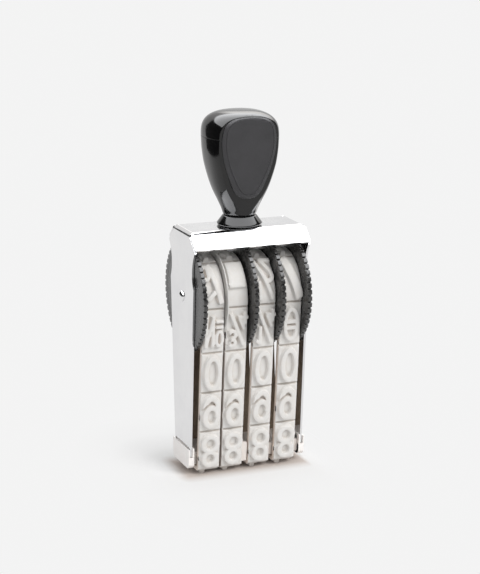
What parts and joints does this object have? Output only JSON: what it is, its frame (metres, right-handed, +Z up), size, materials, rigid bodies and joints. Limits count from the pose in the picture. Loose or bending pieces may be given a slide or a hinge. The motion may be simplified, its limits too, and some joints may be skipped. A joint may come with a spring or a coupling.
{
  "type": "rotary numbering stamp",
  "caption": "Hand numbering stamp: chromed sheet frame, serrated thumb wheels that carry endless rubber character bands round a foot bar, and a black screwed-on grip.",
  "frame": {"origin": "on the table, under the middle of the stamp as it stands on its characters", "axes": "+Z up through the grip, +X along the axle to the right, -Y the front"},
  "size_m": [0.061, 0.0546, 0.1761],
  "materials": {
    "chromed_sheet": "polished chrome plating",
    "shoe_metal": "smooth light warm grey",
    "nose_plastic": "light warm grey moulding",
    "zinc_steel": "zinc plated",
    "disc_plastic": "light grey thin disc",
    "wheel_plastic": "black moulded, satin",
    "type_rubber": "light warm grey rubber",
    "woven_lining": "brown woven lining",
    "panel_plastic": "dark grey, fine matte",
    "grip_plastic": "black gloss moulding",
    "insert_brass": "turned brass"
  },
  "bodies": {
    "stamp": {"frame": "chromed_sheet", "left_shoe": "shoe_metal", "right_shoe": "shoe_metal", "nose_bar": "nose_plastic", "axle": "zinc_steel", "axle_washer": "zinc_steel", "divider_disc": "disc_plastic", "number_band_1": "type_rubber", "number_band_2": "type_rubber", "number_band_3": "type_rubber", "number_band_4": "type_rubber", "band_lining_1": "woven_lining", "band_lining_2": "woven_lining", "band_lining_3": "woven_lining", "band_lining_4": "woven_lining", "handle_neck": "grip_plastic", "handle_body": "grip_plastic", "handle_cap": "grip_plastic", "front_panel": "panel_plastic", "back_panel": "panel_plastic", "threaded_insert": "insert_brass", "handle_screw": "zinc_steel", "screw_washer": "zinc_steel"},
    "wheel_1": {"band_wheel_1": "wheel_plastic"},
    "wheel_2": {"band_wheel_2": "wheel_plastic"},
    "wheel_3": {"band_wheel_3": "wheel_plastic"},
    "wheel_4": {"band_wheel_4": "wheel_plastic"}
  },
  "joints": [
    {"name": "wheel_1_turn", "type": "hinge", "parent": "stamp", "child": "wheel_1", "pos_m": [0, 0, 0.0878], "axis": [1, 0, 0], "continuous": true},
    {"name": "wheel_2_turn", "type": "hinge", "parent": "stamp", "child": "wheel_2", "pos_m": [0, 0, 0.0878], "axis": [1, 0, 0], "continuous": true},
    {"name": "wheel_3_turn", "type": "hinge", "parent": "stamp", "child": "wheel_3", "pos_m": [0, 0, 0.0878], "axis": [1, 0, 0], "continuous": true},
    {"name": "wheel_4_turn", "type": "hinge", "parent": "stamp", "child": "wheel_4", "pos_m": [0, 0, 0.0878], "axis": [1, 0, 0], "continuous": true}
  ]
}
